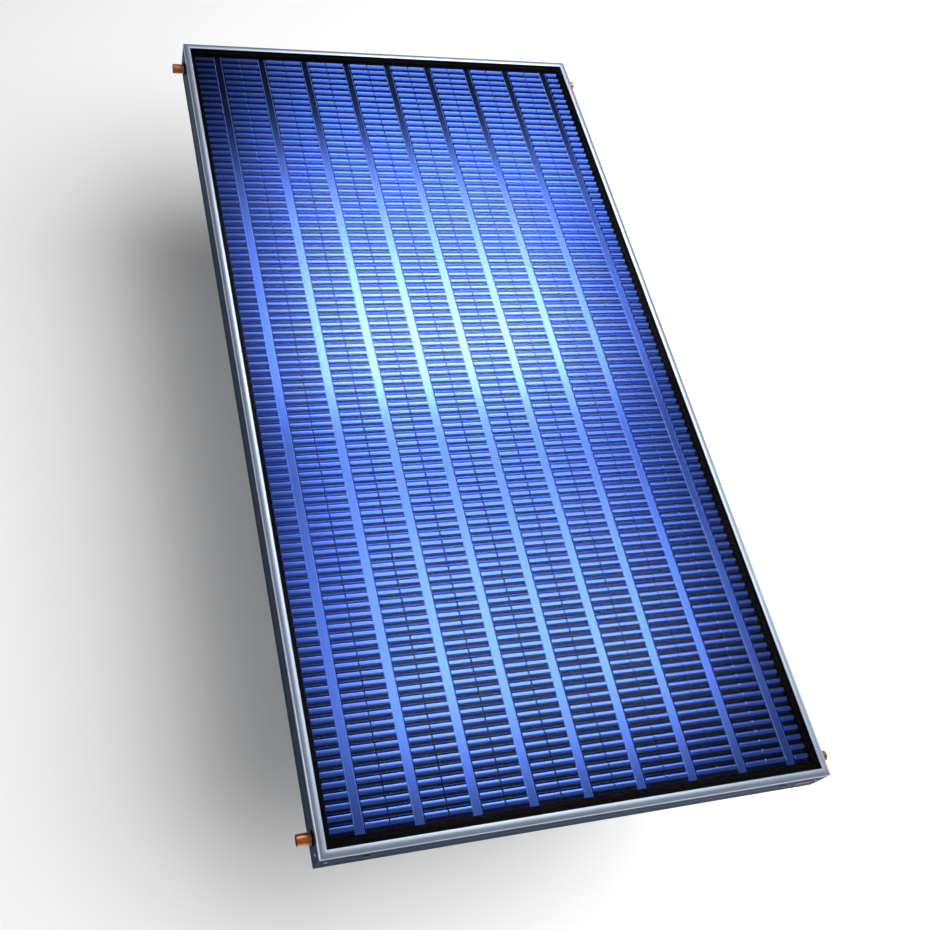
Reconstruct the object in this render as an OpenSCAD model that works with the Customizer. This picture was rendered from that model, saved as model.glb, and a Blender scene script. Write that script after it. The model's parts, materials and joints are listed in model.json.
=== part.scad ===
// Flat-plate solar thermal collector, lying on its back.
// Origin at the middle of the back, +Z out through the glass, +Y towards the head end.
// Every rail, bead, seal and edge strip is one mitred or butted bar, placed on its side by on_side().

/* [Casing] */
// Width over the side rails
body_w = 1040; // [800:5:1300]
// Length over the head and foot rails
body_l = 2000; // [1200:10:2500]
// Depth from the back to the crown of the glazing beads
body_d = 75; // [70:1:110]
// Thickness of the outer wall of a rail
wall_t = 2.2; // [1.6:0.1:3]
// Thickness of a rail's back flange, webs and glass shelf
web_t = 1.8; // [1.2:0.1:2.5]
// Width of the back flange that carries the back sheet
back_flange_w = 22; // [18:1:35]
// Mouth of the clamp groove round the casing
clamp_groove_h = 6; // [5:0.5:9]
// Depth of the clamp groove
clamp_groove_d = 6; // [5:0.5:8]
// Width of the two decorative lines along each rail
line_w = 2.5; // [1.5:0.5:4]
// Depth of the two decorative lines
line_d = 0.9; // [0.4:0.1:1.2]
// Height of the lower line above the back
line_low_z = 20; // [16:0.5:21]
// Height of the upper line above the back
line_high_z = 50; // [49.5:0.5:54]
// Thickness of the back sheet
back_sheet_t = 0.7; // [0.5:0.1:1.2]

/* [Glazing] */
// Width of the face of a glazing bead
bead_w = 15; // [12:0.5:22]
// Thickness of a bead's face at its crown
bead_t = 2.4; // [2:0.1:3.2]
// How far a bead's face falls away from its crown to either edge
bead_fall = 0.9; // [0.3:0.1:1.2]
// Thickness of the bead's leg outside the rail
bead_leg_t = 1.6; // [1.2:0.1:2]
// Height of the bead, from the foot of its leg to its crown
bead_h = 10.8; // [9:0.1:13]
// Thickness of the glass
glass_t = 3.2; // [3:0.2:4]
// Thickness of the rubber lips over and under the glass
seal_t = 1.2; // [0.8:0.1:2]
// How far the lower rubber lip shows past the bead
seal_show = 9.5; // [3:0.5:14]

/* [Absorber] */
// Number of fins, each on its own riser
fin_count = 9; // [7:1:11]
// Thickness of the fin sheet
fin_t = 0.4; // [0.3:0.1:0.6]
// From the casing's side to the edge of the outermost fin, when the absorber is in the middle
fin_side_gap = 19.5; // [19:0.5:30]
// From the casing's end to the end of a fin
fin_end_gap = 26; // [22:1:40]
// How far the absorber sits off centre, towards the right side
fin_shift_x = 6; // [0:0.5:6]
// How far the absorber sits off centre, towards the head
fin_shift_y = 8; // [0:0.5:8]
// Width of the flat band welded to the riser
band_w = 19; // [14:1:30]
// Height of the pressed fields on either side of the band
rib_h = 3; // [1.5:0.1:4]
// Width of the sloping rim of a pressed field
rib_rim_w = 3; // [2:0.5:6]
// Width of the flat edge outside the pressed fields
fin_edge_w = 1.5; // [1:0.5:4]
// Air gap from the crest of the pressed fields to the glass
glass_gap = 5; // [4:0.5:25]

/* [Tubes] */
// Outer diameter of a riser
riser_d = 8; // [7:0.5:12]
// Wall of a riser
riser_wall = 0.5; // [0.4:0.1:1]
// Outer diameter of a header
header_d = 22; // [18:1:22]
// Wall of a header
header_wall = 1; // [0.8:0.1:1.2]
// Height of the header axes above the back
header_z = 35; // [34:0.5:36]
// From the casing's end to a header's axis
header_inset = 46; // [44:1:60]
// How far a header stands out of each side
stub_l = 28; // [24:1:60]
// Width of the rolled ring that holds the grommet on a header
ring_w = 2.5; // [2:0.5:4]
// Height of the rolled ring above the header
ring_h = 1.2; // [0.8:0.1:2]

/* [Insulation] */
// Thickness of the mineral wool board
board_t = 47; // [40:1:47]
// Thickness of the black fleece on the board
fleece_t = 0.5; // [0.4:0.1:1]
// Thickness of the wool strips along the walls
strip_t = 7; // [5:0.5:7]
// Height of the wool strips
strip_h = 14; // [8:0.5:14]

/* [Fittings] */
// Thickness of a corner key
key_t = 3; // [2:0.5:3.5]
// Length of each leg of a corner key
key_leg = 27; // [24:1:27]
// Rivet shank diameter
rivet_d = 4; // [3:0.2:5]
// Rivet head diameter
rivet_head_d = 8; // [6:0.5:10]
// Rivet head thickness
rivet_head_t = 1.4; // [1:0.1:1.4]
// Inside diameter of the sensor sleeve
sensor_bore_d = 6.5; // [6:0.5:7]
// Wall of the sensor sleeve
sensor_wall = 0.75; // [0.5:0.05:1]
// Length of the sensor sleeve
sensor_l = 150; // [100:5:200]
// Diameter of a vent plug's body
vent_d = 10; // [8:0.5:14]
// Width of the blank type plate
plate_w = 36; // [20:1:80]
// Height of the blank type plate
plate_h = 20; // [12:1:24]

/* [Hidden] */
$fn = 48;

// Clearances
slip = 0.2;            // between pieces that slide together
loose = 0.4;           // between the back sheet or the board and the rails
hole_slip = 0.1;       // between a shank or tube and its hole, on the radius

// The four sides: name, length along it, distance of its outer face from the middle, turn about +Z
SIDES = [
    ["foot", body_w, body_l / 2, 0],
    ["right", body_l, body_w / 2, 90],
    ["head", body_w, body_l / 2, 180],
    ["left", body_l, body_w / 2, 270]
];
function side_of(name) = [for (s = SIDES) if (s[0] == name) s][0];

// Heights of the glazing, from the crown down
bead_under_z = body_d - bead_t;
glass_top_z = bead_under_z - seal_t;
glass_z = glass_top_z - glass_t;
shelf_top_z = glass_z - seal_t;
shelf_z = shelf_top_z - web_t;
bead_foot_z = body_d - bead_h;
crest_z = glass_z - glass_gap;
bead_round = 2.5;      // radius of the casing's outer front edge
bead_steps = 8;        // flats that draw the crowned face
bead_edge_z = body_d - bead_fall;

// Distances inward from the casing's outer face
upstand_in = bead_leg_t + slip;
upstand_out = upstand_in + wall_t;
seal_in = upstand_out + slip;
glass_in = seal_in + seal_t + slip;
shelf_in = bead_w - 1;
lip_in = bead_w + seal_show;
groove_back = clamp_groove_d + web_t;
sheet_in = groove_back + loose;
strip_in = wall_t + key_t + 2 * loose;

// Heights of the casing's inside
groove_top_z = web_t + clamp_groove_h;
neck_z = bead_foot_z - 2 * wall_t;
board_z = web_t + back_sheet_t;
fleece_z = board_z + board_t;
fleece_top_z = fleece_z + fleece_t;

// Absorber
fin_w = (body_w - 2 * fin_side_gap) / fin_count;
fin_l = body_l - 2 * fin_end_gap;
fin_z = crest_z - rib_h - fin_t;
riser_z = fin_z - riser_d / 2;
function fin_x(i) = fin_shift_x + (i - (fin_count + 1) / 2) * fin_w;

// Headers
header_r = header_d / 2;
header_y = body_l / 2 - header_inset;
elbow_r = riser_z - header_z - header_r;
riser_dip = header_wall;   // a riser ends level with the top of the header's bore

// Grommets
grommet_wall = 2;
grommet_r = header_r + grommet_wall;
grommet_flange_r = grommet_r + 1.5;
grommet_flange_t = 2;
channel_r = header_r + 2;
ring_x = body_w / 2 + grommet_flange_t;

// Sensor sleeve, beside the middle riser
sensor_r = sensor_bore_d / 2 + sensor_wall;
sensor_x = fin_w / 4;
sensor_z = fin_z - sensor_r;
sensor_mouth_y = body_l / 2 - 1;
sensor_grommet_r = sensor_r + 2;
sensor_flange_r = sensor_grommet_r + 2;
sensor_flange_in_r = sensor_grommet_r + 1;
sensor_flange_t = 1.2;

// Corner keys and rivets
key_z = groove_top_z + web_t + 2;
key_top_z = neck_z - 1.5;
rivet_in = wall_t + key_leg / 2;
rivet_z = 42;

// Vent plugs in the head and foot rails, and the type plate on the foot rail
vent_inset = 90;
vent_head_r = vent_d / 2 + 2;
vent_head_t = 1.2;
plate_t = 0.5;
plate_inset = 42;

function fin_name(i) = str("absorber_fin_", i);
function riser_name(i) = str("riser_tube_", i);

// ---- shared shapes ----

// Places what is drawn along +X, outer face at y = 0 and inside towards +Y, on one side of the casing
module on_side(name) {
    s = side_of(name);
    rotate([0, 0, s[3]]) translate([0, -s[2], 0]) children();
}

// A profile of (inward, up) points, extruded along X
module bar(length, profile) {
    translate([-length / 2, 0, 0]) rotate([90, 0, 90]) linear_extrude(length) polygon(profile);
}

// The same with its ends cut at 45 degrees, so that four of them close a frame
module mitred_bar(length, profile, depth) {
    half = length / 2;
    intersection() {
        bar(length, profile);
        linear_extrude(body_d)
            polygon([[-half, 0], [half, 0], [half - depth, depth], [-half + depth, depth]]);
    }
}

// A flat slab that keeps the same distance from all four sides
module slab(inset, z, t) {
    w = body_w - 2 * inset;
    l = body_l - 2 * inset;
    translate([-w / 2, -l / 2, z]) cube([w, l, t]);
}

// A cylinder along X, centred on x = 0
module along_x(r, length) {
    rotate([0, 90, 0]) cylinder(h = length, r = r, center = true);
}

// A cylinder that starts at the origin and runs along +Y
module along_y(r, length) {
    rotate([-90, 0, 0]) cylinder(h = length, r = r);
}

// ---- casing ----

function line_notch(z) = [[0, z - line_w / 2], [line_d, z - line_w / 2], [line_d, z + line_w / 2], [0, z + line_w / 2]];

// From the outer edge of the back flange, up the outside, over the shelf and down the inside
rail_profile = concat(
    [[0, 0], [0, web_t], [clamp_groove_d, web_t], [clamp_groove_d, groove_top_z], [0, groove_top_z]],
    line_notch(line_low_z),
    line_notch(line_high_z),
    [[0, bead_foot_z - slip], [upstand_in, bead_foot_z - slip], [upstand_in, bead_under_z - slip]],
    [[upstand_out, bead_under_z - slip], [upstand_out, shelf_top_z], [shelf_in, shelf_top_z]],
    [[shelf_in, shelf_z], [upstand_out, shelf_z], [upstand_out, neck_z], [wall_t, neck_z]],
    [[wall_t, groove_top_z + web_t], [groove_back, groove_top_z + web_t], [groove_back, web_t]],
    [[back_flange_w, web_t], [back_flange_w, 0]]
);

module frame_rail(name) {
    length = side_of(name)[1];
    end = name == "head" || name == "foot";
    color("#8b95a5") on_side(name) difference() {
        mitred_bar(length, rail_profile, back_flange_w);
        rivet_holes(length);
        if (!end) header_holes();
        if (end) vent_holes();
        if (name == "head") sensor_hole();
    }
}

// Holes are drilled from outside the wall to just inside it
module drill(x, z, r, depth = wall_t) {
    translate([x, -1, z]) along_y(r, depth + 2);
}

module rivet_holes(length) {
    for (s = [-1, 1]) drill(s * (length / 2 - rivet_in), rivet_z, rivet_d / 2 + hole_slip, wall_t + key_t);
}

module header_holes() {
    for (s = [-1, 1]) drill(s * header_y, header_z, grommet_r);
}

module vent_holes() {
    for (s = [-1, 1]) drill(s * (body_w / 2 - vent_inset), header_z, vent_d / 2);
}

// The hole is wider past the wall, where the grommet's inner flange sits under the shelf
module sensor_hole() {
    drill(-sensor_x, sensor_z, sensor_grommet_r);
    translate([-sensor_x, wall_t, sensor_z]) along_y(sensor_flange_in_r, upstand_out);
}

// One L-shaped key in each corner, riveted through both rails
module corner_keys() {
    leg = key_leg + wall_t;
    color("#9aa0a8") for (sx = [-1, 1], sy = [-1, 1])
        in_corner(sx, sy) difference() {
            translate([0, 0, key_z]) linear_extrude(key_top_z - key_z) polygon([
                [wall_t, wall_t], [leg, wall_t], [leg, wall_t + key_t],
                [wall_t + key_t, wall_t + key_t], [wall_t + key_t, leg], [wall_t, leg]
            ]);
            corner_drills(rivet_d / 2 + hole_slip);
        }
}

// Moves a shape drawn in the foot-left corner, with its axes pointing inward, to any corner
module in_corner(sx, sy) {
    mirror([sx > 0 ? 1 : 0, 0, 0]) mirror([0, sy > 0 ? 1 : 0, 0])
        translate([-body_w / 2, -body_l / 2, 0]) children();
}

module corner_drills(r) {
    translate([rivet_in, -1, rivet_z]) along_y(r, wall_t + key_t + 2);
    translate([-1, rivet_in, rivet_z]) rotate([0, 90, 0]) cylinder(h = wall_t + key_t + 2, r = r);
}

module rivet() {
    grip = wall_t + key_t;
    along_y(rivet_d / 2, grip);
    translate([0, -rivet_head_t, 0]) intersection() {
        along_y(rivet_head_d / 2, rivet_head_t);
        translate([0, rivet_head_d, 0]) sphere(r = rivet_head_d, $fn = 64);
    }
    translate([0, grip, 0]) along_y(rivet_d * 0.7, 0.8);
}

module corner_rivets() {
    color("#b4b8bf") for (sx = [-1, 1], sy = [-1, 1]) in_corner(sx, sy) {
        translate([rivet_in, 0, rivet_z]) rivet();
        translate([0, rivet_in, rivet_z]) rotate([0, 0, -90]) rivet();
    }
}

module back_sheet() {
    color("#aab0b6") slab(sheet_in, web_t, back_sheet_t);
}

// ---- glazing ----

// The leg outside the rail, a quarter round, the crowned face and the underside
bead_profile = concat(
    [[0, bead_foot_z]],
    [for (k = [0 : bead_steps / 2]) let (a = 180 - k * 180 / bead_steps)
        [bead_round + bead_round * cos(a), bead_edge_z - bead_round + bead_round * sin(a)]],
    [for (k = [1 : bead_steps]) let (t = k / bead_steps)
        [bead_round + (bead_w - bead_round) * t, bead_edge_z + bead_fall * (1 - pow(2 * t - 1, 2))]],
    [[bead_w, bead_under_z], [bead_leg_t, bead_under_z], [bead_leg_t, bead_foot_z]]
);

module glazing_bead(name) {
    color("#aab6cc") on_side(name) mitred_bar(side_of(name)[1], bead_profile, bead_w);
}

// A rubber channel round the edge of the glass, with a wider lip below
seal_profile = [
    [seal_in, shelf_top_z], [lip_in, shelf_top_z], [lip_in, glass_z], [seal_in + seal_t, glass_z],
    [seal_in + seal_t, glass_top_z], [bead_w + 1, glass_top_z], [bead_w + 1, bead_under_z],
    [seal_in, bead_under_z]
];

module glass_seal(name) {
    color("#101113") on_side(name) mitred_bar(side_of(name)[1], seal_profile, lip_in);
}

module glass_cover() {
    color("#cfe0ee", 0.35) slab(glass_in, glass_z, glass_t);
}

// ---- insulation ----

// The headers lie in two channels cut across the board
module header_channels(depth_z) {
    for (s = [-1, 1]) translate([-body_w / 2, s * header_y - channel_r, depth_z])
        cube([body_w, 2 * channel_r, body_d]);
}

module back_insulation() {
    color("#c9b458") difference() {
        slab(sheet_in, board_z, board_t);
        header_channels(header_z - header_r - 1);
    }
}

module insulation_fleece() {
    color("#17181a") difference() {
        slab(sheet_in, fleece_z, fleece_t);
        header_channels(fleece_z - 1);
    }
}

// The side strips run the whole length, and the end strips fit between them
module edge_insulation(name) {
    end = name == "head" || name == "foot";
    length = side_of(name)[1] - 2 * (strip_in + (end ? strip_t : 0));
    color("#2a2b2d") on_side(name) difference() {
        translate([-length / 2, strip_in, fleece_top_z]) cube([length, strip_t, strip_h]);
        if (name == "head") translate([-sensor_x, strip_in - 1, sensor_z])
            along_y(sensor_r + hole_slip, strip_t + 2);
    }
}

// ---- absorber ----

// The right half of a fin as (across, up) points: band, rim, raised field, rim and edge.
// rise is the height above the underside, and thin moves the rims in so that the sheet keeps its thickness.
function fin_half(rise, thin) = let (edge = (fin_w - slip) / 2) [
    [band_w / 2 + thin, rise],
    [band_w / 2 + rib_rim_w + thin, rise + rib_h],
    [edge - fin_edge_w - rib_rim_w - thin, rise + rib_h],
    [edge - fin_edge_w - thin, rise],
    [edge, rise]
];
function mirrored(points) = [for (k = [len(points) - 1 : -1 : 0]) [-points[k][0], points[k][1]]];
function reversed(points) = [for (k = [len(points) - 1 : -1 : 0]) points[k]];
rim_thin = fin_t * (norm([rib_rim_w, rib_h]) - rib_rim_w) / rib_h;
fin_underside = concat(mirrored(fin_half(0, rim_thin)), fin_half(0, rim_thin));
fin_topside = concat(mirrored(fin_half(fin_t, 0)), fin_half(fin_t, 0));

module absorber_fin(i) {
    color("#2b52c8") translate([fin_x(i), fin_shift_y + fin_l / 2, fin_z]) rotate([90, 0, 0])
        linear_extrude(fin_l) polygon(concat(fin_underside, reversed(fin_topside)));
}

// ---- tubes ----

// A straight run under the fin, and at each end a quarter bend down into the header
module riser_shape(r) {
    run = 2 * (header_y - elbow_r);
    translate([0, -run / 2, riser_z]) along_y(r, run);
    for (s = [0, 1]) mirror([0, s, 0]) {
        translate([0, run / 2, riser_z - elbow_r]) rotate([90, 0, 90])
            rotate_extrude(angle = 90) translate([elbow_r, 0]) circle(r = r);
        translate([0, header_y, riser_z - elbow_r - riser_dip]) cylinder(h = riser_dip, r = r);
    }
}

module riser_tube(i) {
    bore = riser_d / 2 - riser_wall;
    color("#c77a4a") translate([fin_x(i), 0, 0]) difference() {
        riser_shape(riser_d / 2);
        riser_shape(bore);
        for (s = [-1, 1]) translate([0, s * header_y, riser_z - elbow_r - riser_dip - 1])
            cylinder(h = 2, r = bore);
    }
}

module header_tube(s) {
    color("#c77a4a") translate([0, s * header_y, header_z]) difference() {
        union() {
            along_x(header_r, body_w + 2 * stub_l);
            for (e = [-1, 1]) translate([e * (ring_x + ring_w / 2), 0, 0])
                along_x(header_r + ring_h, ring_w);
        }
        along_x(header_r - header_wall, body_w + 2 * stub_l + 2);
        for (i = [1 : fin_count]) translate([fin_x(i), 0, 0]) cylinder(h = header_d, r = riser_d / 2);
    }
}

// A rubber bush in the rail's wall, with a flange on each face
module header_grommet(sx, sy) {
    color("#141416") translate([sx * (body_w / 2 - wall_t / 2), sy * header_y, header_z])
        difference() {
            union() {
                along_x(grommet_r, wall_t);
                for (e = [-1, 1]) translate([e * (wall_t + grommet_flange_t) / 2, 0, 0])
                    along_x(grommet_flange_r - (e == sx ? 0 : 1), grommet_flange_t);
            }
            along_x(header_r, wall_t + 3 * grommet_flange_t);
        }
}

// ---- fittings ----

module sensor_sleeve() {
    color("#c8a05a") translate([sensor_x, sensor_mouth_y - sensor_l, sensor_z]) difference() {
        along_y(sensor_r, sensor_l);
        translate([0, 2, 0]) along_y(sensor_bore_d / 2, sensor_l);
    }
}

module sensor_grommet() {
    color("#141416") translate([sensor_x, body_l / 2 - wall_t, sensor_z]) difference() {
        union() {
            along_y(sensor_grommet_r, wall_t);
            translate([0, wall_t, 0]) along_y(sensor_flange_r, sensor_flange_t);
            translate([0, -sensor_flange_t, 0]) along_y(sensor_flange_in_r, sensor_flange_t);
        }
        translate([0, -2 * sensor_flange_t, 0]) along_y(sensor_r, wall_t + 4 * sensor_flange_t);
    }
}

// A plug pushed into the wall, with louvre slots across its head
module vent_plug() {
    slots = 3;
    difference() {
        union() {
            translate([0, -vent_head_t, 0]) along_y(vent_head_r, vent_head_t);
            along_y(vent_d / 2, wall_t + 1);
            translate([0, wall_t, 0]) along_y(vent_d / 2 + 0.4, 1);
        }
        for (k = [0 : slots - 1]) translate([-vent_d / 3, -vent_head_t - 1, (k - 1) * vent_d / 4 - 0.5])
            cube([vent_d * 2 / 3, wall_t + 4, 1]);
    }
}

module vent_plugs() {
    color("#1a1b1d") for (name = ["head", "foot"]) on_side(name)
        for (s = [-1, 1]) translate([s * (body_w / 2 - vent_inset), 0, header_z]) vent_plug();
}

module type_plate() {
    color("#33363b") on_side("foot")
        translate([body_w / 2 - plate_inset - plate_w / 2, -plate_t, header_z - plate_h / 2])
            cube([plate_w, plate_t, plate_h]);
}

// ---- nodes ----

for (s = SIDES) {
    frame_rail(s[0]);
    glazing_bead(s[0]);
    glass_seal(s[0]);
    edge_insulation(s[0]);
}
corner_keys();
corner_rivets();
back_sheet();
back_insulation();
insulation_fleece();
glass_cover();
header_tube(1);  // header_tube_head
header_tube(-1);  // header_tube_foot
header_grommet(-1, 1);  // header_grommet_head_left
header_grommet(1, 1);  // header_grommet_head_right
header_grommet(-1, -1);  // header_grommet_foot_left
header_grommet(1, -1);  // header_grommet_foot_right
for (i = [1 : fin_count]) {
    absorber_fin(i);
    riser_tube(i);
}
sensor_sleeve();
sensor_grommet();
vent_plugs();
type_plate();
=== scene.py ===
"""Flat-plate solar collector: ribbed blue absorber fins behind solar glass in an anodised aluminium casing.

Everything is in metres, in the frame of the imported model: the back of the casing is at z = 0, the glass
faces +Z and the head end is towards +Y.
"""
import json
import math

import bpy
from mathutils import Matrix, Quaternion, Vector, noise

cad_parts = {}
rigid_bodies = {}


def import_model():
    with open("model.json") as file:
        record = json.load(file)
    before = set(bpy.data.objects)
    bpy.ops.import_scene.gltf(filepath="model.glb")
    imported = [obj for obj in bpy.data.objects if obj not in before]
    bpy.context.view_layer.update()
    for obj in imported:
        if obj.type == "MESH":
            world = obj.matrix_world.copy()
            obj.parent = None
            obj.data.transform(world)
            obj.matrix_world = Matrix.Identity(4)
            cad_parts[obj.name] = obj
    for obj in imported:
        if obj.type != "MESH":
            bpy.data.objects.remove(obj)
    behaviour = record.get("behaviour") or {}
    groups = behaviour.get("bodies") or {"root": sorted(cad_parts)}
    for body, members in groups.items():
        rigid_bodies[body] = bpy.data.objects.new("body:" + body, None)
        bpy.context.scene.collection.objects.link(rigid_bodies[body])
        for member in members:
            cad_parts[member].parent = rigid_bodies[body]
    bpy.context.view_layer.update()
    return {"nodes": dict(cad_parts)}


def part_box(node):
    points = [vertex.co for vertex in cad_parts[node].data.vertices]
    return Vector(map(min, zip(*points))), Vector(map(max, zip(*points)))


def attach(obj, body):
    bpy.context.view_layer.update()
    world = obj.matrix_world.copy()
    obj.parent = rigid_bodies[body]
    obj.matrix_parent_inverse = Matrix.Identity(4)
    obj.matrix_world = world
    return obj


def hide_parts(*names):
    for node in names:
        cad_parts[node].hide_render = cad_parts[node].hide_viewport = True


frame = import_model()

MM = 0.001
SIDES = ("foot", "right", "head", "left")
FIN_COUNT = 9

# The casing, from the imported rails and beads
RAIL_LOW, RAIL_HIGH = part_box("frame_rail_left")
HALF_WIDTH = -RAIL_LOW[0]
HALF_LENGTH = RAIL_HIGH[1]
BEAD_LOW, BEAD_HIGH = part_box("glazing_bead_foot")
CROWN_Z = BEAD_HIGH[2]
BEAD_FOOT_Z = BEAD_LOW[2]


# ---- camera ----

CAMERA_PLACE = Vector((-0.9256, -1.3386, 2.0297))
CAMERA_AIM = Vector((-0.2412, -0.3201, 0.075))
CAMERA_ROLL = 0.44611
CAMERA_LENS = 43.72
CAMERA_SHIFT = (0.0740, 0.0376)


def make_camera():
    camera = bpy.data.objects.new("camera", bpy.data.cameras.new("camera"))
    bpy.context.scene.collection.objects.link(camera)
    camera.location = CAMERA_PLACE
    camera.rotation_mode = "QUATERNION"
    look = (CAMERA_AIM - CAMERA_PLACE).to_track_quat("-Z", "Y")
    camera.rotation_quaternion = look @ Quaternion((0, 0, 1), CAMERA_ROLL)
    camera.data.sensor_width = 36
    camera.data.lens = CAMERA_LENS
    camera.data.shift_x, camera.data.shift_y = CAMERA_SHIFT
    bpy.context.scene.camera = camera


# ---- shader maths ----

class Wire:
    """A number or colour that runs through a material, and can be used in arithmetic."""

    def __init__(self, tree, socket):
        self.tree, self.socket = tree, socket

    def math(self, operation, *values):
        node = self.tree.nodes.new("ShaderNodeMath")
        node.operation = operation
        for socket, value in zip(node.inputs, values):
            plug(self.tree, socket, value)
        return Wire(self.tree, node.outputs[0])

    def __add__(self, other):
        return self.math("ADD", self, other)

    def __radd__(self, other):
        return self.math("ADD", other, self)

    def __sub__(self, other):
        return self.math("SUBTRACT", self, other)

    def __rsub__(self, other):
        return self.math("SUBTRACT", other, self)

    def __mul__(self, other):
        return self.math("MULTIPLY", self, other)

    def __rmul__(self, other):
        return self.math("MULTIPLY", other, self)

    def __truediv__(self, other):
        return self.math("DIVIDE", self, other)

    def __rtruediv__(self, other):
        return self.math("DIVIDE", other, self)

    def __abs__(self):
        return self.math("ABSOLUTE", self)

    def __lt__(self, other):
        return self.math("LESS_THAN", self, other)

    def __gt__(self, other):
        return self.math("GREATER_THAN", self, other)


def plug(tree, socket, value):
    """Sets a socket to a number, or links a wire to it."""
    if isinstance(value, Wire):
        tree.links.new(value.socket, socket)
    else:
        socket.default_value = value


class Finish:
    """One material: a principled shader, and what feeds it."""

    def __init__(self, name, **constants):
        self.material = bpy.data.materials.new(name)
        self.material.use_nodes = True
        self.tree = self.material.node_tree
        self.shader = self.tree.nodes["Principled BSDF"]
        for socket, value in constants.items():
            self.shader.inputs[socket.replace("_", " ")].default_value = value

    def node(self, kind, settings=None, inputs=None, output=0):
        """Adds a node: its settings first, then the values or wires of its sockets."""
        node = self.tree.nodes.new(kind)
        for key, value in (settings or {}).items():
            setattr(node, key, value)
        for key, value in (inputs or {}).items():
            plug(self.tree, node.inputs[key], value)
        return Wire(self.tree, node.outputs[output])

    def place(self):
        """The point on the piece, in metres."""
        return self.node("ShaderNodeTexCoord", output="Object")

    def split(self, vector):
        node = self.tree.nodes.new("ShaderNodeSeparateXYZ")
        plug(self.tree, node.inputs[0], vector)
        return [Wire(self.tree, node.outputs[k]) for k in range(3)]

    def scaled(self, factors):
        """The point on the piece, stretched by a factor along each axis."""
        return self.node("ShaderNodeMapping", {}, {"Vector": self.place(), "Scale": factors})

    def grain(self, factors, detail=2.0, rough=0.5):
        """Noise from 0 to 1, with so many grains a metre along each axis."""
        return self.node(
            "ShaderNodeTexNoise", {},
            {"Vector": self.scaled(factors), "Scale": 1.0, "Detail": detail, "Roughness": rough})

    def ramp(self, value, low, high, out_low=0.0, out_high=1.0):
        """Maps low..high smoothly to out_low..out_high, and holds the ends."""
        return self.node(
            "ShaderNodeMapRange", {"interpolation_type": "SMOOTHSTEP"},
            {"Value": value, "From Min": low, "From Max": high, "To Min": out_low, "To Max": out_high})

    def blend(self, amount, first, second, mode="MIX"):
        """Mixes two colours, each four numbers or a wire."""
        node = self.tree.nodes.new("ShaderNodeMix")
        node.data_type, node.blend_type = "RGBA", mode
        plug(self.tree, node.inputs[0], amount)
        plug(self.tree, node.inputs[6], first)
        plug(self.tree, node.inputs[7], second)
        return Wire(self.tree, node.outputs[2])

    def feed(self, **wires):
        for socket, value in wires.items():
            plug(self.tree, self.shader.inputs[socket.replace("_", " ")], value)

    def bump(self, height, depth, strength=1.0):
        self.feed(Normal=self.node(
            "ShaderNodeBump", {}, {"Height": height, "Distance": depth, "Strength": strength}, "Normal"))


def rgb(red, green, blue):
    return (red, green, blue, 1.0)


def dimmed(colour, factor):
    return rgb(*(c * factor for c in colour[:3]))


# ---- materials ----

def anodised(name, colour, roughness, metal, along, glancing):
    """Satin anodised extrusion: drawing lines along the bar, and a dark joint line at the mitres.

    glancing is the tint of what it mirrors at a low angle."""
    finish = Finish(name, Specular_Tint=glancing)
    lines = (6, 900, 900) if along == "x" else (900, 6, 900)
    draw = finish.grain(lines, 3.0, 0.6)
    cloud = finish.grain((9, 9, 9), 2.0)
    x, y, _ = finish.split(finish.place())
    mitre = abs((HALF_WIDTH - abs(x)) - (HALF_LENGTH - abs(y)))
    joint = finish.ramp(mitre, 0.1 * MM, 0.45 * MM, 1.0, 0.0)
    tone = finish.blend(finish.ramp(draw, 0.3, 0.7), dimmed(colour, 0.9), dimmed(colour, 1.1))
    tone = finish.blend(finish.ramp(cloud, 0.35, 0.7) * 0.25, tone, dimmed(colour, 0.8))
    finish.feed(
        Base_Color=finish.blend(joint * 0.85, tone, rgb(0.02, 0.02, 0.024)),
        Roughness=roughness + (draw - 0.5) * 0.16 + (cloud - 0.5) * 0.1,
        Metallic=metal - joint * 0.6)
    finish.bump(draw, 0.03 * MM, 0.5)
    return finish.material


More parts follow.
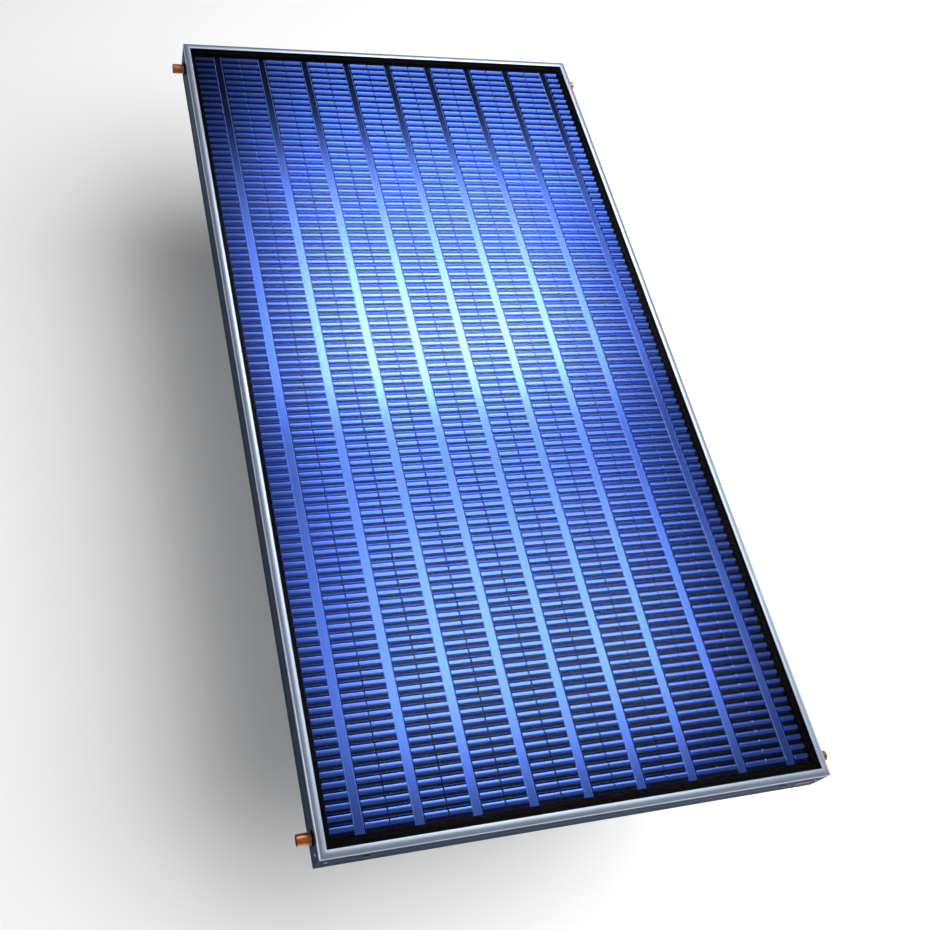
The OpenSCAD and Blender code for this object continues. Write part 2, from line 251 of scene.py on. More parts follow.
def selective_coating():
    """Blue selective coating on rolled aluminium: rolling streaks, and painted shade in the valleys.

    The painted valley shade gets darker and wider towards the foot, and painted shade darkens the whole
    coating towards the head."""
    finish = Finish("selective_coating", Metallic=1.0)
    x, y, z = finish.split(finish.place())
    streak = finish.grain((700, 5, 5), 3.0, 0.55)
    cloud = finish.grain((7, 5, 5), 2.0)
    speck = finish.grain((1500, 1500, 1500), 1.0)
    first_low, first_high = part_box("absorber_fin_1")
    pitch = first_high[0] - first_low[0]
    fins_along = (x - first_low[0]) / pitch + 20.0
    turn = finish.node("ShaderNodeMath", {"operation": "FRACT"}, {0: fins_along})
    in_band = abs(turn - 0.5) * pitch < BAND_HALF - 0.2 * MM
    sheet_z = fin_top_z()
    # painted shade: the valleys are painted darker than the open face, and darker and wider towards the foot
    deep = finish.ramp(y, -0.95, -0.2, 1.0, 0.0)
    crest = finish.ramp(
        z, sheet_z + RIB_HEIGHT * (0.1 + deep * 0.3), sheet_z + RIB_HEIGHT * (0.75 + deep * 0.2))
    open_face = in_band.math("MAXIMUM", in_band, crest)
    valley = finish.blend(deep, rgb(0.024, 0.066, 0.36), rgb(0.001, 0.003, 0.022))
    blue = finish.blend(open_face, valley, rgb(0.066, 0.142, 0.58))
    blue = finish.blend(finish.ramp(cloud, 0.3, 0.75) * 0.25, blue, rgb(0.7, 0.75, 0.9), "MULTIPLY")
    blue = finish.blend(finish.ramp(streak, 0.25, 0.75) * 0.12, blue, rgb(0.065, 0.155, 0.64))
    # painted shade: the coating is painted darker towards the head
    blue = finish.blend(finish.ramp(y, 0.55, 0.98) * 0.55, blue, rgb(0.004, 0.008, 0.03))
    weld = in_band * finish.ramp(z, sheet_z + 0.04 * MM, sheet_z + 0.12 * MM)
    finish.feed(
        Base_Color=finish.blend(weld * 0.8, blue, rgb(0.22, 0.36, 0.80)),
        Roughness=0.15 + (streak - 0.5) * 0.05 + (speck - 0.5) * 0.03 + weld * 0.25)
    return finish.material


def solar_glass():
    """Clear low-iron glass: see-through, with a faint soft mirror image that grows at a low angle."""
    finish = Finish("solar_glass", Metallic=1.0, Base_Color=rgb(0.93, 0.97, 1.0))
    mirror = finish.node("ShaderNodeFresnel", {}, {"IOR": 1.15})
    from_inside = finish.node("ShaderNodeNewGeometry", output="Backfacing")
    dust = finish.grain((5, 5, 5), 3.0)
    finish.feed(
        Alpha=mirror * 1.6 * (1 - from_inside),
        Roughness=0.12 + finish.ramp(dust, 0.3, 0.8) * 0.05)
    return finish.material


def rubber():
    """Black extruded rubber with fine drawing lines and a little dust."""
    finish = Finish("black_rubber", Specular_IOR_Level=0.03)
    dust = finish.grain((60, 60, 60), 4.0, 0.6)
    fine = finish.grain((2500, 2500, 2500), 2.0)
    finish.feed(
        Base_Color=finish.blend(
            finish.ramp(dust, 0.5, 0.9) * 0.3, rgb(0.0015, 0.0015, 0.0018), rgb(0.006, 0.006, 0.006)),
        Roughness=0.72 + (fine - 0.5) * 0.2)
    finish.bump(fine, 0.05 * MM, 0.5)
    return finish.material


def copper():
    """Bright drawn copper tube, tarnished in soft patches, with drawing lines along it."""
    finish = Finish("copper", Metallic=1.0)
    patch = finish.grain((70, 70, 70), 4.0, 0.6)
    rings = finish.grain((12, 900, 900), 2.0)
    tone = finish.blend(finish.ramp(patch, 0.4, 0.75), rgb(0.78, 0.28, 0.11), rgb(0.50, 0.17, 0.07))
    finish.feed(
        Base_Color=finish.blend(finish.ramp(rings, 0.3, 0.8) * 0.25, tone, rgb(0.42, 0.17, 0.09)),
        Roughness=0.27 + finish.ramp(patch, 0.35, 0.8) * 0.2)
    finish.bump(rings, 0.03 * MM, 0.5)
    return finish.material


def plain_metal(name, colour, roughness, grain_size):
    """Mill-finish metal with a fine random grain."""
    finish = Finish(name, Metallic=1.0)
    fine = finish.grain((grain_size,) * 3, 3.0)
    cloud = finish.grain((30, 30, 30), 2.0)
    finish.feed(
        Base_Color=finish.blend(finish.ramp(cloud, 0.3, 0.8) * 0.5, colour, dimmed(colour, 0.75)),
        Roughness=roughness + (fine - 0.5) * 0.2)
    finish.bump(fine, 0.02 * MM, 0.5)
    return finish.material


def stucco_sheet():
    """Stucco-embossed aluminium sheet: a net of small raised pebbles."""
    finish = Finish("stucco_sheet", Metallic=1.0)
    pebble = finish.node(
        "ShaderNodeTexVoronoi", {"feature": "SMOOTH_F1"},
        {"Vector": finish.scaled((260, 260, 260)), "Scale": 1.0, "Smoothness": 0.6})
    fold = finish.grain((420, 420, 420), 2.0)
    cloud = finish.grain((5, 5, 5), 3.0)
    height = pebble + fold * 0.6
    # painted shade: the base colour is darker in the low parts between the pebbles
    finish.feed(
        Base_Color=finish.blend(
            finish.ramp(height, 0.3, 1.1), rgb(0.52, 0.54, 0.57), rgb(0.70, 0.72, 0.74)),
        Roughness=0.34 + finish.ramp(cloud, 0.3, 0.8) * 0.14)
    finish.bump(height, 0.25 * MM, 0.8)
    return finish.material


def wool(name, light, dark):
    """Mineral wool: matted fibres, with darker bonded patches."""
    finish = Finish(name, Roughness=0.95, Specular_IOR_Level=0.1)
    fibre = finish.grain((240, 900, 900), 5.0, 0.7)
    cross = finish.grain((900, 240, 900), 5.0, 0.7)
    patch = finish.grain((14, 14, 14), 3.0)
    mat = fibre * 0.5 + cross * 0.5
    tone = finish.blend(finish.ramp(mat, 0.35, 0.65), dark, light)
    finish.feed(Base_Color=finish.blend(finish.ramp(patch, 0.45, 0.8) * 0.5, tone, dark))
    finish.bump(mat, 0.6 * MM, 0.9)
    return finish.material


def moulded_plastic():
    """Black moulded plastic with a fine spark-eroded texture."""
    finish = Finish("black_plastic", Specular_IOR_Level=0.4)
    spark = finish.grain((1800, 1800, 1800), 3.0)
    haze = finish.grain((120, 120, 120), 2.0)
    finish.feed(
        Base_Color=finish.blend(
            finish.ramp(haze, 0.4, 0.8) * 0.4, rgb(0.012, 0.012, 0.013), rgb(0.03, 0.03, 0.032)),
        Roughness=0.5 + (spark - 0.5) * 0.25)
    finish.bump(spark, 0.04 * MM, 0.6)
    return finish.material


def blank_plate():
    """Blank dark plate: deep red-brown lacquer worn to bare metal along its edges."""
    low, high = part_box("type_plate")
    finish = Finish("blank_plate", Specular_IOR_Level=0.08)
    x, _, z = finish.split(finish.place())
    half_w, half_h = (high[0] - low[0]) / 2, (high[2] - low[2]) / 2
    edge_x = half_w - abs(x - (low[0] + half_w))
    edge_z = half_h - abs(z - (low[2] + half_h))
    rim = finish.ramp(edge_x.math("MINIMUM", edge_x, edge_z), 0.4 * MM, 1.2 * MM, 1.0, 0.0)
    scuff = finish.grain((400, 400, 1200), 4.0, 0.7)
    finish.feed(
        Base_Color=finish.blend(rim * 0.6, rgb(0.10, 0.012, 0.014), rgb(0.03, 0.03, 0.034)),
        Roughness=0.38 + (scuff - 0.5) * 0.3,
        Metallic=rim * 0.5)
    return finish.material


# ---- meshes ----

def piece_of(name, vertices, faces, material, smooth_angle=30):
    """A new object at the origin, smooth except over edges sharper than smooth_angle degrees."""
    mesh = bpy.data.meshes.new(name)
    mesh.from_pydata([tuple(v) for v in vertices], [], faces)
    piece = bpy.data.objects.new(name, mesh)
    bpy.context.scene.collection.objects.link(piece)
    mesh.materials.append(material)
    soften(mesh, smooth_angle)
    return piece


def bands_of(count, bands):
    """Faces between closed rings of count vertices each, with one more ring than bands."""
    return [
        (r * count + k, r * count + (k + 1) % count, (r + 1) * count + (k + 1) % count, (r + 1) * count + k)
        for r in range(bands) for k in range(count)]


def end_faces(count, bands):
    """The two faces that close a tube made by bands_of."""
    return [tuple(reversed(range(count))), tuple(range(bands * count, (bands + 1) * count))]


def soften(mesh, angle):
    """Smooth shading, but for edges sharper than angle degrees."""
    mesh.polygons.foreach_set("use_smooth", [True] * len(mesh.polygons))
    mesh.set_sharp_from_angle(angle=math.radians(angle))
    mesh.update()


def baked(piece):
    """Turns a piece with modifiers into a plain mesh."""
    graph = bpy.context.evaluated_depsgraph_get()
    mesh = bpy.data.meshes.new_from_object(piece.evaluated_get(graph), depsgraph=graph)
    piece.modifiers.clear()
    piece.data = mesh
    return piece


def fit_out(piece, slot, *nodes):
    """Makes a finished piece part of the object, in place of the CAD nodes it stands for."""
    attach(piece, "root")
    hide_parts(*nodes)


# ---- geometry node trees ----

class Recipe:
    """A geometry node tree with named inputs."""

    def __init__(self, name, **inputs):
        self.tree = bpy.data.node_groups.new(name, "GeometryNodeTree")
        face = self.tree.interface
        face.new_socket("Geometry", in_out="INPUT", socket_type="NodeSocketGeometry")
        self.ids = {}
        for title, kind in inputs.items():
            self.ids[title] = face.new_socket(title, in_out="INPUT", socket_type=kind).identifier
        face.new_socket("Geometry", in_out="OUTPUT", socket_type="NodeSocketGeometry")
        self.start = self.tree.nodes.new("NodeGroupInput")
        self.end = self.tree.nodes.new("NodeGroupOutput")

    def given(self, title="Geometry"):
        return self.start.outputs[title]

    def node(self, kind, settings=None, inputs=None, output=0):
        """Adds a node: its settings first, then the values or links of its sockets."""
        node = self.tree.nodes.new(kind)
        for key, value in (settings or {}).items():
            setattr(node, key, value)
        for key, value in (inputs or {}).items():
            for one in value if isinstance(value, list) else [value]:
                if isinstance(one, bpy.types.NodeSocket):
                    self.tree.links.new(one, node.inputs[key])
                else:
                    node.inputs[key].default_value = one
        return node.outputs[output]

    def close(self, geometry):
        """Ends the tree: real geometry in the given material."""
        real = self.node("GeometryNodeRealizeInstances", {}, {"Geometry": geometry})
        done = self.node(
            "GeometryNodeSetMaterial", {}, {"Geometry": real, "Material": self.given("Material")})
        self.tree.links.new(done, self.end.inputs["Geometry"])

    def use_on(self, piece, **values):
        modifier = piece.modifiers.new(self.tree.name, "NODES")
        modifier.node_group = self.tree
        for title, value in values.items():
            modifier[self.ids[title]] = value


def row_recipe():
    """Repeats one object in a row along Y, centred on Middle, and joins it to what is there."""
    recipe = Recipe(
        "row_along_y", Shape="NodeSocketObject", Count="NodeSocketInt", Pitch="NodeSocketFloat",
        Middle="NodeSocketVector", Weld="NodeSocketFloat", Material="NodeSocketMaterial")
    steps = recipe.node(
        "ShaderNodeMath", {"operation": "SUBTRACT"}, {0: recipe.given("Count"), 1: 1.0})
    reach = recipe.node("ShaderNodeMath", {"operation": "MULTIPLY"}, {0: steps, 1: recipe.given("Pitch")})
    back = recipe.node("ShaderNodeMath", {"operation": "MULTIPLY"}, {0: reach, 1: -0.5})
    offset = recipe.node("ShaderNodeCombineXYZ", {}, {"Y": back})
    start = recipe.node("ShaderNodeVectorMath", {"operation": "ADD"}, {0: recipe.given("Middle"), 1: offset})
    step = recipe.node("ShaderNodeCombineXYZ", {}, {"Y": recipe.given("Pitch")})
    points = recipe.node(
        "GeometryNodeMeshLine", {"mode": "OFFSET"},
        {"Count": recipe.given("Count"), "Start Location": start, "Offset": step})
    shape = recipe.node(
        "GeometryNodeObjectInfo", {}, {"Object": recipe.given("Shape"), "As Instance": True}, "Geometry")
    row = recipe.node("GeometryNodeInstanceOnPoints", {}, {"Points": points, "Instance": shape})
    real = recipe.node("GeometryNodeRealizeInstances", {}, {"Geometry": row})
    merged = recipe.node(
        "GeometryNodeMergeByDistance", {}, {"Geometry": real, "Distance": recipe.given("Weld")})
    joined = recipe.node("GeometryNodeJoinGeometry", {}, {"Geometry": [recipe.given(), merged]})
    recipe.close(joined)
    return recipe


# ---- absorber ----

RIB_HEIGHT = 2.95 * MM
RIB_COUNT = 98
RIB_PITCH = 19.8 * MM
# Across half a pitch, from 0 at the crest to 1 in the valley: where the flank starts and ends, and the
# rows of the mesh
RIB_FLANK = (0.26, 0.97)
RIB_ROWS = (0, 0.22, 0.34, 0.45, 0.55, 0.65, 0.76, 0.87, 0.95, 1)
BAND_HALF = 9.5 * MM
SEAM = 0.7 * MM          # dark gap between neighbouring fins
RIB_END = 1.0 * MM       # how far a rib takes to rise at the band
SHEET = 0.4 * MM
EDGE_IN = 1.2 * MM       # the long edges of a fin turn down over this width
EDGE_ROLL = 0.4 * MM
GUARD = 0.4 * MM         # from a bend in the sheet to the mesh row beside it
STITCH_PITCH = 4.2 * MM
STITCH_IN = 1.5 * MM     # from the edge of the band to its weld marks
STITCH_MARGIN = 20 * MM  # length of a fin that has no weld marks, at both ends together
PIP_HALF_X = 0.9 * MM
PIP_HALF_Y = 1.35 * MM
PIP_HEIGHT = 0.42 * MM


def fin_top_z():
    """The top of the flat sheet between the ribs."""
    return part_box("absorber_fin_1")[0][2] + SHEET


def ease(t):
    """0 to 1 with level ends."""
    t = min(max(t, 0.0), 1.0)
    return t * t * (3 - 2 * t)


def rib_rise(v):
    """Height of the rib from 0 to 1 across one pitch, v from 0 to 1."""
    return 1 - ease((abs(2 * v - 1) - RIB_FLANK[0]) / (RIB_FLANK[1] - RIB_FLANK[0]))


def fin_columns(half):
    """Distances from the middle of the band to the long edge, with a guard column beside every bend."""
    bend = [BAND_HALF + RIB_END * k / 2 for k in range(3)]
    return [0, BAND_HALF - GUARD, *bend, bend[-1] + GUARD, half - EDGE_IN - GUARD, half - EDGE_IN, half]


def fin_height(across, half, v):
    """Height of the sheet's top above its flat, at a distance from the band and a place along a rib."""
    end = ease((across - BAND_HALF) / RIB_END)
    roll = ease((across - (half - EDGE_IN)) / EDGE_IN)
    return RIB_HEIGHT * rib_rise(v) * end - EDGE_ROLL * roll * rib_rise(v)


def fin_strip(half, rows, length, start_y):
    """A stretch of the sheet over a length that starts at start_y, with mesh rows at v from 0 to 1."""
    side = fin_columns(half)
    across = [-d for d in reversed(side[1:])] + side
    vertices = [
        (d, start_y + length * v, fin_height(abs(d), half, v if len(rows) > 2 else 0))
        for v in rows for d in across]
    width = len(across)
    faces = [
        (r * width + c, r * width + c + 1, (r + 1) * width + c + 1, (r + 1) * width + c)
        for r in range(len(rows) - 1) for c in range(width - 1)]
    return vertices, faces


def stitch_shape():
    """One weld mark: a small oval pip, a few dozen faces."""
    sides = 8
    rings = ((1.0, -0.04), (0.92, 0.5), (0.5, 0.92))
    vertices = [
        (PIP_HALF_X * r * math.cos(2 * math.pi * k / sides),
         PIP_HALF_Y * r * math.sin(2 * math.pi * k / sides),
         PIP_HEIGHT * h)
        for r, h in rings for k in range(sides)]
    vertices.append((0, 0, PIP_HEIGHT))
    top = len(vertices) - 1
    last = (len(rings) - 1) * sides
    faces = bands_of(sides, len(rings) - 1)
    faces += [(last + k, last + (k + 1) % sides, top) for k in range(sides)]
    faces.append(tuple(reversed(range(sides))))
    return vertices, faces


def make_fins(coating):
    row = row_recipe()
    low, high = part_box("absorber_fin_1")
    half = (high[0] - low[0] - SEAM) / 2
    rows = [0.5 - t / 2 for t in reversed(RIB_ROWS)] + [0.5 + t / 2 for t in RIB_ROWS[1:]]
    rib = piece_of("rib_die", *fin_strip(half, rows, RIB_PITCH, -RIB_PITCH / 2), coating)
    pip = piece_of("stitch_die", *stitch_shape(), coating)
    ribbed = RIB_COUNT * RIB_PITCH / 2
    for i in range(1, FIN_COUNT + 1):
        name = f"absorber_fin_{i}"
        low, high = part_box(name)
        middle = Vector(((low[0] + high[0]) / 2, (low[1] + high[1]) / 2, fin_top_z()))
        flat = middle.y - ribbed - low[1]
        vertices, faces = [], []
        for start in (middle.y - ribbed - flat, middle.y + ribbed):
            v, f = fin_strip(half, (0, 1), flat, start)
            faces += [tuple(k + len(vertices) for k in face) for face in f]
            vertices += [(x + middle.x, y, z + middle.z) for x, y, z in v]
        fin = piece_of(f"ribbed_fin_{i}", vertices, faces, coating)
        row.use_on(
            fin, Shape=rib, Count=RIB_COUNT, Pitch=RIB_PITCH, Middle=middle, Weld=0.005 * MM,
            Material=coating)
        join = fin.modifiers.new("join_ends", "WELD")
        join.merge_threshold = 0.01 * MM
        skin = fin.modifiers.new("sheet", "SOLIDIFY")
        skin.thickness, skin.offset = SHEET, -1
        stitches = int((high[1] - low[1] - STITCH_MARGIN) / STITCH_PITCH)
        for side in (-1, 1):
            row.use_on(
                fin, Shape=pip, Count=stitches, Pitch=STITCH_PITCH, Weld=0.0, Material=coating,
                Middle=middle + Vector((side * (BAND_HALF - STITCH_IN), 0, 0)))
        baked(fin)
        soften(fin.data, 40)
        fit_out(fin, "selective_blue", name)
    for die in (rib, pip):
        bpy.data.objects.remove(die)


# ---- glazing beads ----

BEAD_WIDTH = 15 * MM
BEAD_THICK = 2.4 * MM
BEAD_FALL = 0.9 * MM
BEAD_LEG = 1.6 * MM
BEAD_ROUND = 2.5 * MM
BEAD_EDGE = 0.35 * MM    # radius of the bead's inner edges
BEAD_STEPS = 20          # mesh faces across the crown
TURN_STEPS = 8           # and round the outer edge
MITRE_GAP = 0.06 * MM    # from the end of a bead to the plane of its mitre, along the bead


def bead_profile():
    """Points (inward, up): up the leg, round the outer edge, over the crown and back along the underside."""
    edge_z = CROWN_Z - BEAD_FALL
    under_z = CROWN_Z - BEAD_THICK
    turn = [math.radians(180 - 90 * k / TURN_STEPS) for k in range(TURN_STEPS + 1)]
    leg = [(BEAD_EDGE, BEAD_FOOT_Z), (0, BEAD_FOOT_Z + BEAD_EDGE)]
    outer = [(BEAD_ROUND * (1 + math.cos(a)), edge_z - BEAD_ROUND * (1 - math.sin(a))) for a in turn]
    span = BEAD_WIDTH - BEAD_ROUND - BEAD_EDGE
    crown = [
        (BEAD_ROUND + span * t, edge_z + BEAD_FALL * (1 - (2 * t - 1) ** 2))
        for t in (k / BEAD_STEPS for k in range(1, BEAD_STEPS + 1))]
    lip = [
        (BEAD_WIDTH, edge_z - BEAD_EDGE), (BEAD_WIDTH, under_z + BEAD_EDGE),
        (BEAD_WIDTH - BEAD_EDGE, under_z), (BEAD_LEG + BEAD_EDGE, under_z),
        (BEAD_LEG, under_z - BEAD_EDGE), (BEAD_LEG, BEAD_FOOT_Z)]
    return leg + outer + crown + lip


def on_side(side, along, inward):
    """A point in the frame from a place along one side of the casing and a distance inward."""
    return {
        "foot": (along, -HALF_LENGTH + inward),
        "right": (HALF_WIDTH - inward, along),
        "head": (-along, HALF_LENGTH - inward),
        "left": (-HALF_WIDTH + inward, -along)}[side]


def mitred_bar(name, side, profile, material):
    """A bar along one side, cut at 45 degrees at both ends."""
    half = HALF_WIDTH if side in ("foot", "head") else HALF_LENGTH
    stations = [-1, -0.985, -0.5, 0, 0.5, 0.985, 1]
    vertices = []
    for s in stations:
        for inward, up in profile:
            reach = half - inward - MITRE_GAP
            along = reach if s == 1 else -reach if s == -1 else s * half
            vertices.append((*on_side(side, along, inward), up))
    rings = len(profile), len(stations) - 1
    return piece_of(name, vertices, bands_of(*rings) + end_faces(*rings), material, 32)


def make_beads(finishes):
    for side in SIDES:
        bead = mitred_bar(f"crowned_bead_{side}", side, bead_profile(), finishes[side])
        fit_out(bead, "bead_anodised", f"glazing_bead_{side}")


# ---- insulation ----

LUMPS_A_METRE = 45
CHANNEL_SIDE = 0.8 * MM  # from a header's rolled ring to the side of its channel in the board
CHANNEL_RISE = 0.2 * MM  # from the foot of that ring up to the floor of the channel


def lumpy_bar(name, outline, start, end, along, material, step, lump=0.5 * MM):
    """A soft bar: an outline of two coordinates, drawn from start to end along X or Y, with uneven faces.

    step is the size of a mesh face. The lumps only go inward, so the bar stays inside its plain shape."""
    ring = []
    for (a0, b0), (a1, b1) in zip(outline, outline[1:] + outline[:1]):
        parts = max(1, round(math.hypot(a1 - a0, b1 - b0) / step))
        ring += [(a0 + (a1 - a0) * k / parts, b0 + (b1 - b0) * k / parts) for k in range(parts)]
    mid_a = (min(p[0] for p in ring) + max(p[0] for p in ring)) / 2
    mid_b = (min(p[1] for p in ring) + max(p[1] for p in ring)) / 2
    count = max(2, round((end - start) / step))
    vertices = []
    for r in range(count + 1):
        s = start + (end - start) * r / count
        for a, b in ring:
            place = Vector((s, a, b)) * LUMPS_A_METRE
            dent = lump * (0.5 + 0.5 * noise.noise(place))
            a2 = a - math.copysign(min(dent, abs(a - mid_a)), a - mid_a)
            b2 = b - math.copysign(min(dent, abs(b - mid_b)), b - mid_b)
            vertices.append((s, a2, b2) if along == "x" else (a2, s, b2))
    faces = bands_of(len(ring), count) + end_faces(len(ring), count)
    if along == "y":
        faces = [tuple(reversed(face)) for face in faces]
    return piece_of(name, vertices, faces, material, 60)


def make_insulation(pale_wool, dark_wool, fleece):
    low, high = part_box("back_insulation")
    head_low, head_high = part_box("header_tube_head")
    channel = (head_high[2] - head_low[2]) / 2 + CHANNEL_SIDE
    middle = (head_low[1] + head_high[1]) / 2
    floor_z = head_low[2] + CHANNEL_RISE
    cuts = [(s * middle - channel, s * middle + channel) for s in (-1, 1)]
    top = [
        (high[1], high[2]), (cuts[1][1], high[2]), (cuts[1][1], floor_z), (cuts[1][0], floor_z),
        (cuts[1][0], high[2]), (cuts[0][1], high[2]), (cuts[0][1], floor_z), (cuts[0][0], floor_z),
        (cuts[0][0], high[2]), (low[1], high[2])]
    board = lumpy_bar(
        "wool_board", [(low[1], low[2]), (high[1], low[2]), *top], low[0], high[0], "x", pale_wool, 16 * MM)
    fit_out(board, "mineral_wool", "back_insulation")
    for side in SIDES:
        node = f"edge_insulation_{side}"
        lo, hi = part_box(node)
        across, along = (1, "x") if side in ("foot", "head") else (0, "y")
        run = 1 - across
        outline = [
            (lo[across], lo[2]), (hi[across], lo[2]), (hi[across], hi[2]), (lo[across], hi[2])]
        strip = lumpy_bar(
            f"wool_strip_{side}", outline, lo[run], hi[run], along, dark_wool, 6 * MM, 0.3 * MM)
        fit_out(strip, "dark_wool", node)
    fleece_low, fleece_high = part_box("insulation_fleece")
    bounds = [fleece_low[1], cuts[0][0], cuts[0][1], cuts[1][0], cuts[1][1], fleece_high[1]]
    sheets = []
    for start, end in zip(bounds[::2], bounds[1::2]):
        outline = [
            (start, fleece_low[2]), (end, fleece_low[2]), (end, fleece_high[2]), (start, fleece_high[2])]
        sheets.append(lumpy_bar(
            f"fleece_{len(sheets)}", outline, fleece_low[0], fleece_high[0], "x", fleece, 24 * MM, 0.1 * MM))
    whole = joined("fleece_facing", sheets, fleece)
    fit_out(whole, "black_fleece", "insulation_fleece")
    width = fleece_high[0] - fleece_low[0]
    cloth = sum(end - start for start, end in zip(bounds[::2], bounds[1::2]))
    width * cloth


def joined(name, parts, material):
    """One piece from several, which are removed."""
    vertices, faces = [], []
    for part in parts:
        faces += [tuple(k + len(vertices) for k in face.vertices) for face in part.data.polygons]
        vertices += [tuple(v.co) for v in part.data.vertices]
        bpy.data.objects.remove(part)
    return piece_of(name, vertices, faces, material, 60)


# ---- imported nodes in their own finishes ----

def paint(node, material):
    """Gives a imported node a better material."""
    mesh = frame["nodes"][node].data
    mesh.materials.clear()
    mesh.materials.append(material)


def paint_nodes(finishes):
    for side in SIDES:
        paint(f"frame_rail_{side}", finishes["rail"][side])
        paint(f"glass_seal_{side}", finishes["rubber"])
    for end in ("head", "foot"):
        paint(f"header_tube_{end}", finishes["copper"])
        for side in ("left", "right"):
            paint(f"header_grommet_{end}_{side}", finishes["rubber"])
    for i in range(1, FIN_COUNT + 1):
        paint(f"riser_tube_{i}", finishes["copper"])
    for node in (
            "glass_cover", "back_sheet", "corner_keys", "corner_rivets", "sensor_sleeve", "sensor_grommet",
            "vent_plugs", "type_plate"):
        paint(node, finishes[node])


# ---- studio ----

FLOOR_DROP = 0.50        # from the casing's back down to the floor
FLOOR_HALF = 6.0         # half the side of the floor
CEILING = 3.06           # height of the highest soft box


def hung_over(x, y, drop):
    """The point, so far below the ceiling, that the flat absorber at (x, y) mirrors to the camera."""
    flat = Vector((x, y, fin_top_z()))
    mirrored = Vector((CAMERA_PLACE.x, CAMERA_PLACE.y, 2 * flat.z - CAMERA_PLACE.z))
    ray = flat - mirrored
    return mirrored + ray * ((CEILING - drop - mirrored.z) / ray.z)


def softbox(name, receivers, radiance, fade, place, size, aim=None):
    """A soft rectangular light on a collection, which faces down unless it has an aim.

    fade is how much of each edge is soft, as a share of the box: left, right, near, far."""
    lamp = bpy.data.lights.new(name, "AREA")
    lamp.shape = "RECTANGLE"
    lamp.size, lamp.size_y = size
    lamp.energy = radiance * math.pi * size[0] * size[1]
    light = bpy.data.objects.new(name, lamp)
    bpy.context.scene.collection.objects.link(light)
    light.location = place
    if aim is not None:
        light.rotation_mode = "QUATERNION"
        light.rotation_quaternion = (Vector(aim) - Vector(place)).to_track_quat("-Z", "Y")
    light.visible_camera = False
    lamp.use_nodes = True
    tree = lamp.node_tree
    emission = tree.nodes["Emission"]
    geometry = tree.nodes.new("ShaderNodeNewGeometry")
    split = tree.nodes.new("ShaderNodeSeparateXYZ")
    tree.links.new(geometry.outputs["Parametric"], split.inputs[0])
    total = None
    for k, width in enumerate(fade):
        u = Wire(tree, split.outputs[k // 2])
        distance = u if k % 2 == 0 else 1 - u
        soft = tree.nodes.new("ShaderNodeMapRange")
        soft.interpolation_type = "SMOOTHSTEP"
        plug(tree, soft.inputs["Value"], distance)
        soft.inputs["From Max"].default_value = width
        part = Wire(tree, soft.outputs[0])
        total = part if total is None else total * part
    plug(tree, emission.inputs["Strength"], total)
    light.light_linking.receiver_collection = receivers


def ceiling_box(name, receivers, radiance, fade, low, high, drop=0.0):
    """A soft box that the stretch of absorber from corner low to corner high mirrors to the camera."""
    near, far = hung_over(*low, drop), hung_over(*high, drop)
    softbox(name, receivers, radiance, fade, (near + far) / 2, (far.x - near.x, far.y - near.y))


def make_floor():
    """The floor, a collection that holds it alone, and one for everything but it."""
    size, z = FLOOR_HALF, -FLOOR_DROP
    finish = Finish("pale_floor", Roughness=0.9, Specular_IOR_Level=0.0)
    mottle = finish.grain((0.8, 0.8, 0.8), 2.0)
    finish.feed(Base_Color=finish.blend(mottle, rgb(0.90, 0.90, 0.90), rgb(0.92, 0.92, 0.92)))
    floor = piece_of(
        "floor", [(-size, -size, z), (size, -size, z), (size, size, z), (-size, size, z)], [(0, 1, 2, 3)],
        finish.material)
    only_floor, all_but_floor = (bpy.data.collections.new(name) for name in ("only_floor", "all_but_floor"))
    only_floor.objects.link(floor)
    all_but_floor.objects.link(floor)
    all_but_floor.collection_objects[0].light_linking.link_state = "EXCLUDE"
    return only_floor, all_but_floor


def make_world():
    """White to the camera; what the pieces mirror gets brighter from the head side to the foot side."""
    world = bpy.data.worlds.new("studio")
    bpy.context.scene.world = world
    world.use_nodes = True
    tree = world.node_tree
    background = tree.nodes["Background"]
    seen = tree.nodes.new("ShaderNodeLightPath")
    direction = tree.nodes.new("ShaderNodeTexCoord")
    split = tree.nodes.new("ShaderNodeSeparateXYZ")
    tree.links.new(direction.outputs["Generated"], split.inputs[0])
    near = tree.nodes.new("ShaderNodeMapRange")
    near.interpolation_type = "SMOOTHSTEP"
    plug(tree, near.inputs["Value"], Wire(tree, split.outputs["Y"]))
    for title, value in {"From Min": 0.75, "From Max": -0.3, "To Min": 0.03, "To Max": 0.30}.items():
        near.inputs[title].default_value = value
    mix = tree.nodes.new("ShaderNodeMix")
    mix.data_type = "RGBA"
    plug(tree, mix.inputs[6], Wire(tree, near.outputs[0]))
    mix.inputs[7].default_value = rgb(0.93, 0.93, 0.93)
    tree.links.new(seen.outputs["Is Camera Ray"], mix.inputs[0])
    tree.links.new(mix.outputs[2], background.inputs["Color"])


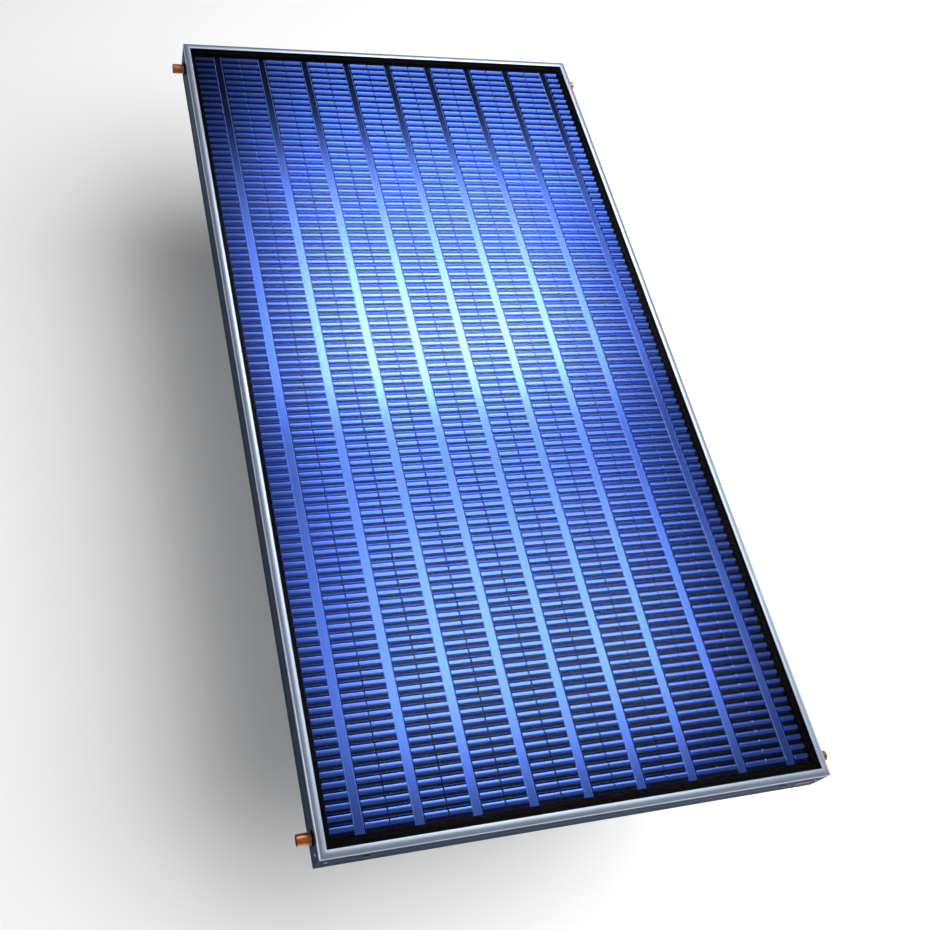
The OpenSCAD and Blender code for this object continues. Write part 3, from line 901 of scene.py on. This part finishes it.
def make_lights(only_floor, all_but_floor):
    """The ceiling boxes that the absorber mirrors, a fill on either side, and a wash for the floor."""
    sides = (0.33, 0.35)
    even = (0.3, 0.3, 0.3, 0.3)
    ceiling_box("sky_box", all_but_floor, 2.3, (*sides, 0.15, 0.25), (-0.56, -1.0), (0.52, 0.80))
    ceiling_box("main_box", all_but_floor, 5.6, (*sides, 0.18, 0.78), (-0.56, -0.15), (0.52, 0.72), 0.03)
    ceiling_box("core_box", all_but_floor, 4.0, (0.35, 0.4, 0.3, 0.6), (-0.42, -0.07), (0.38, 0.34), 0.09)
    ceiling_box("lower_box", all_but_floor, 1.9, (*sides, 0.4, 0.5), (-0.56, -0.95), (0.52, -0.22), 0.06)
    softbox("left_fill", all_but_floor, 7.0, even, (-4.0, -0.6, 1.2), (3, 2), (0, 0, 0))
    softbox("right_fill", all_but_floor, 3.0, even, (4.5, 0.5, 1.6), (3, 2), (0, 0, 0))
    softbox("floor_wash", only_floor, 4.4, even, (2.7, -0.8, 4.5), (9, 9), (2.7, -0.8, 0))


# ---- the whole scene ----

def make_finishes():
    slate, slate_glancing = rgb(0.085, 0.103, 0.135), rgb(0.30, 0.33, 0.39)
    silver, silver_glancing = rgb(0.44, 0.52, 0.66), rgb(0.75, 0.85, 1.0)
    direction = {"foot": "x", "head": "x", "right": "y", "left": "y"}
    rails = {a: anodised(f"rail_satin_{a}", slate, 0.38, 1.0, a, slate_glancing) for a in "xy"}
    beads = {a: anodised(f"bead_satin_{a}", silver, 0.40, 0.8, a, silver_glancing) for a in "xy"}
    black = rubber()
    return {
        "rail": {side: rails[direction[side]] for side in SIDES},
        "bead": {side: beads[direction[side]] for side in SIDES},
        "rubber": black,
        "sensor_grommet": black,
        "copper": copper(),
        "coating": selective_coating(),
        "glass_cover": solar_glass(),
        "back_sheet": stucco_sheet(),
        "corner_keys": plain_metal("mill_aluminium", rgb(0.60, 0.61, 0.63), 0.4, 900),
        "corner_rivets": plain_metal("rivet_metal", rgb(0.30, 0.31, 0.33), 0.35, 1500),
        "sensor_sleeve": plain_metal("drawn_brass", rgb(0.70, 0.50, 0.22), 0.3, 1200),
        "vent_plugs": moulded_plastic(),
        "type_plate": blank_plate(),
        "pale_wool": wool("mineral_wool", rgb(0.62, 0.53, 0.24), rgb(0.36, 0.29, 0.11)),
        "dark_wool": wool("black_wool", rgb(0.035, 0.035, 0.037), rgb(0.008, 0.008, 0.009)),
        "fleece": wool("black_fleece", rgb(0.02, 0.02, 0.021), rgb(0.006, 0.006, 0.007)),
    }


def make_studio():
    scene = bpy.context.scene
    scene.view_settings.view_transform = "Standard"
    make_world()
    make_lights(*make_floor())


make_camera()
finishes = make_finishes()
make_fins(finishes["coating"])
make_beads(finishes["bead"])
make_insulation(finishes["pale_wool"], finishes["dark_wool"], finishes["fleece"])
paint_nodes(finishes)
make_studio()
